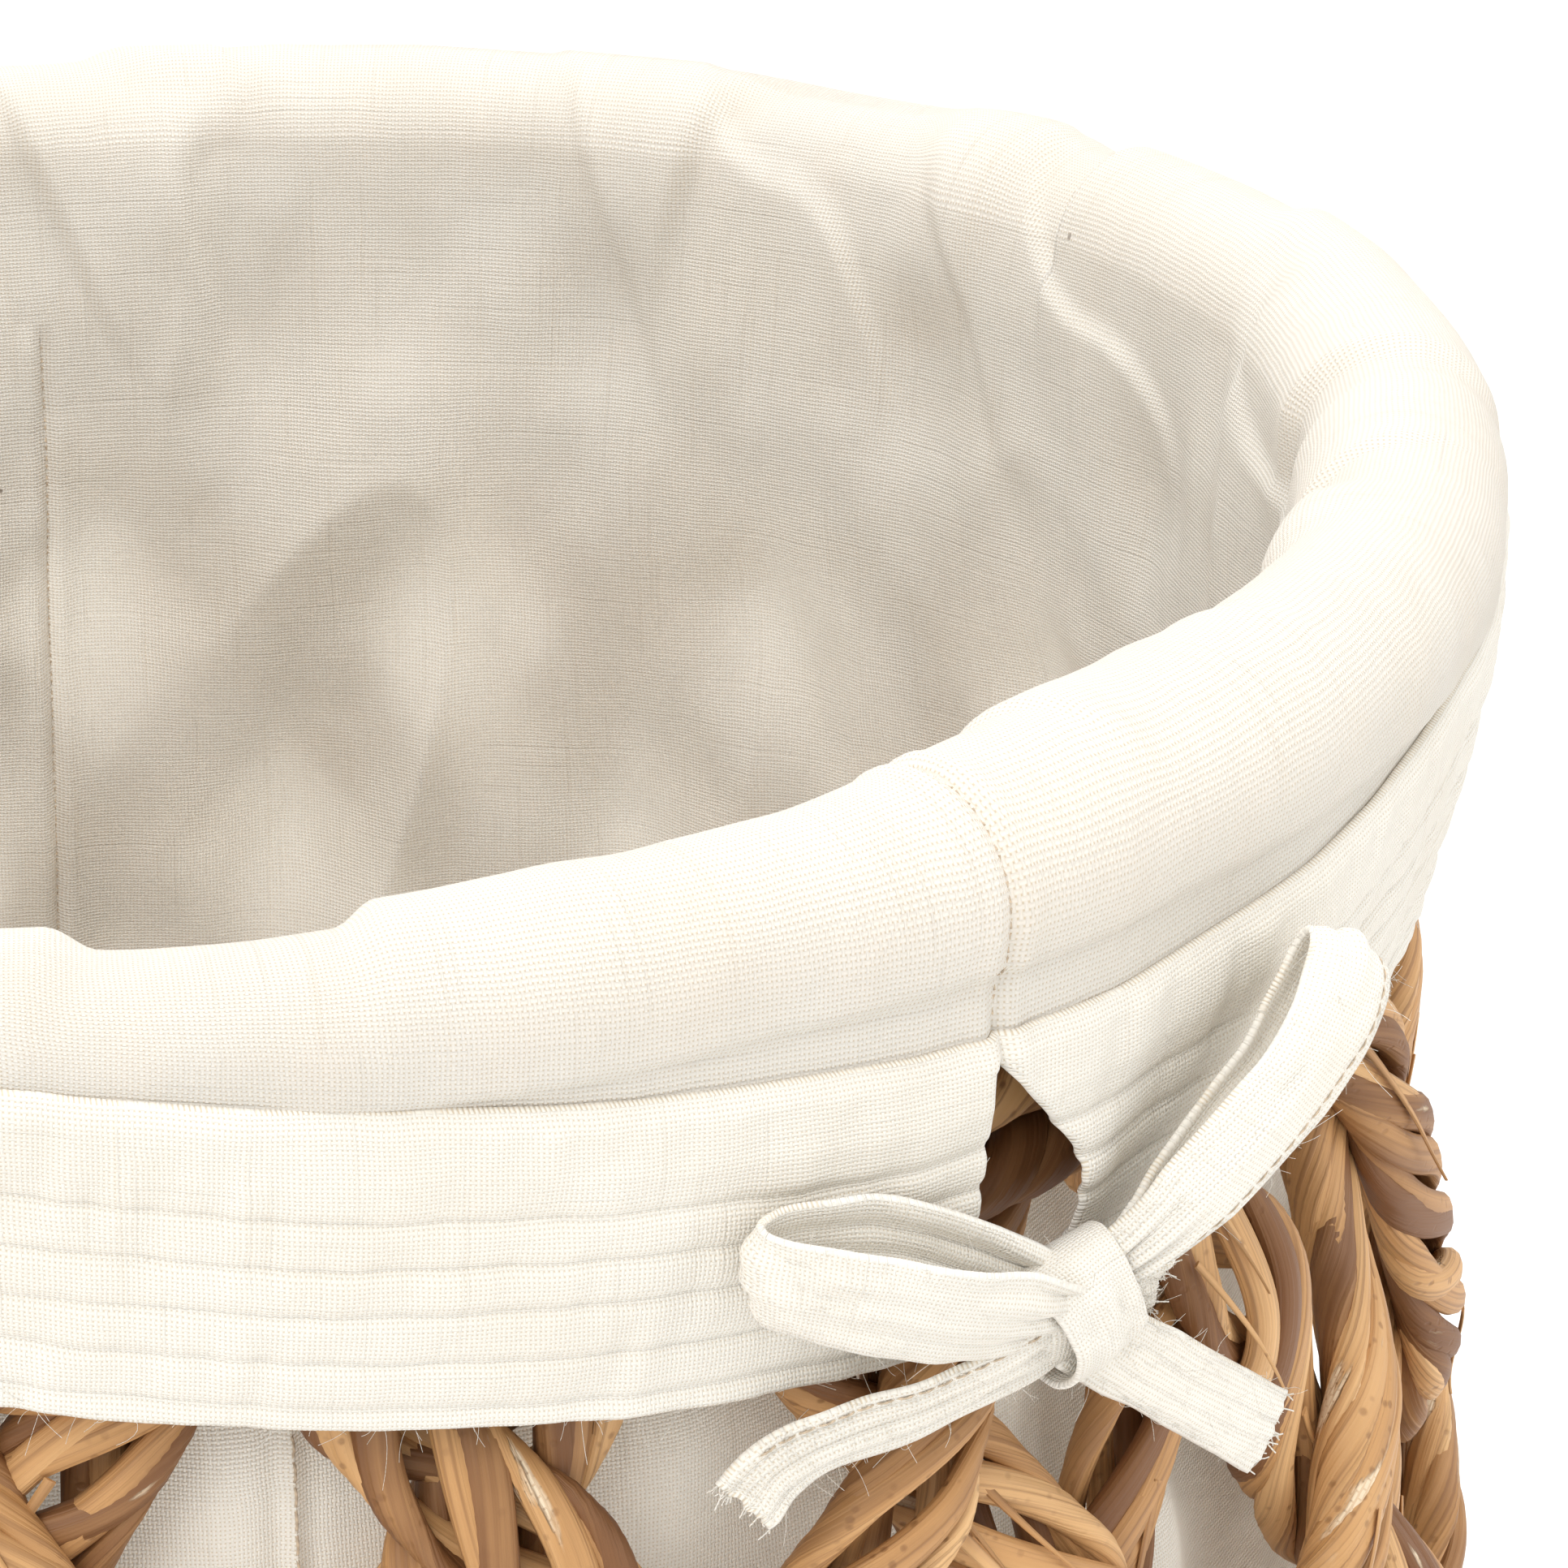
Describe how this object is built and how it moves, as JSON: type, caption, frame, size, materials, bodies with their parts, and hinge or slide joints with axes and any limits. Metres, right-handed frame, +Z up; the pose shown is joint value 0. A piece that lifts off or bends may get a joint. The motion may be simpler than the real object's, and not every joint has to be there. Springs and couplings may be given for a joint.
{
  "type": "laundry basket",
  "caption": "Oval open-top laundry basket of woven plant stems in an open diagonal lattice, with a lift-out cloth liner folded over the rim and tied with bows.",
  "frame": {"origin": "centre of the basket's underside, on the surface it stands on", "axes": "+Z up through the open mouth; +X along the oval's long axis; -Y towards the front bow"},
  "size_m": [0.4158, 0.3876, 0.52],
  "materials": {
    "woven_stems": "dry flat plant stems, satin",
    "border_stems": "dry plant stems, wrapped and twined",
    "base_weave": "dry plant stems, plain woven",
    "hoop_steel": "plain round wire",
    "calico": "unbleached plain-weave cotton",
    "calico_tape": "folded and edge-stitched cotton tape"
  },
  "bodies": {
    "basket": {"base_hoop": "hoop_steel", "base_mat": "base_weave", "base_row_lower": "border_stems", "base_row_upper": "border_stems", "inner_bundle_01": "woven_stems", "inner_bundle_02": "woven_stems", "inner_bundle_03": "woven_stems", "inner_bundle_04": "woven_stems", "inner_bundle_05": "woven_stems", "inner_bundle_06": "woven_stems", "inner_bundle_07": "woven_stems", "inner_bundle_08": "woven_stems", "inner_bundle_09": "woven_stems", "inner_bundle_10": "woven_stems", "inner_bundle_11": "woven_stems", "inner_bundle_12": "woven_stems", "inner_bundle_13": "woven_stems", "inner_bundle_14": "woven_stems", "inner_bundle_15": "woven_stems", "inner_bundle_16": "woven_stems", "inner_bundle_17": "woven_stems", "inner_bundle_18": "woven_stems", "outer_bundle_01": "woven_stems", "outer_bundle_02": "woven_stems", "outer_bundle_03": "woven_stems", "outer_bundle_04": "woven_stems", "outer_bundle_05": "woven_stems", "outer_bundle_06": "woven_stems", "outer_bundle_07": "woven_stems", "outer_bundle_08": "woven_stems", "outer_bundle_09": "woven_stems", "outer_bundle_10": "woven_stems", "outer_bundle_11": "woven_stems", "outer_bundle_12": "woven_stems", "outer_bundle_13": "woven_stems", "outer_bundle_14": "woven_stems", "outer_bundle_15": "woven_stems", "outer_bundle_16": "woven_stems", "outer_bundle_17": "woven_stems", "outer_bundle_18": "woven_stems", "rim_border_row_1": "border_stems", "rim_border_row_2": "border_stems", "rim_border_row_3": "border_stems", "rim_hoop": "hoop_steel", "rim_wrap": "border_stems"},
    "liner": {"back_bow_knot": "calico_tape", "back_bow_left_tape": "calico_tape", "back_bow_right_tape": "calico_tape", "front_bow_knot": "calico_tape", "front_bow_left_tape": "calico_tape", "front_bow_right_tape": "calico_tape", "liner_base": "calico", "liner_cuff_left": "calico", "liner_cuff_right": "calico", "liner_rim_band_left": "calico", "liner_rim_band_right": "calico", "liner_wall_left": "calico", "liner_wall_right": "calico"}
  },
  "joints": [
    {"name": "liner_lift", "type": "slide", "parent": "basket", "child": "liner", "axis": [0, 0, 1], "range_m": [0, 0.54]}
  ]
}
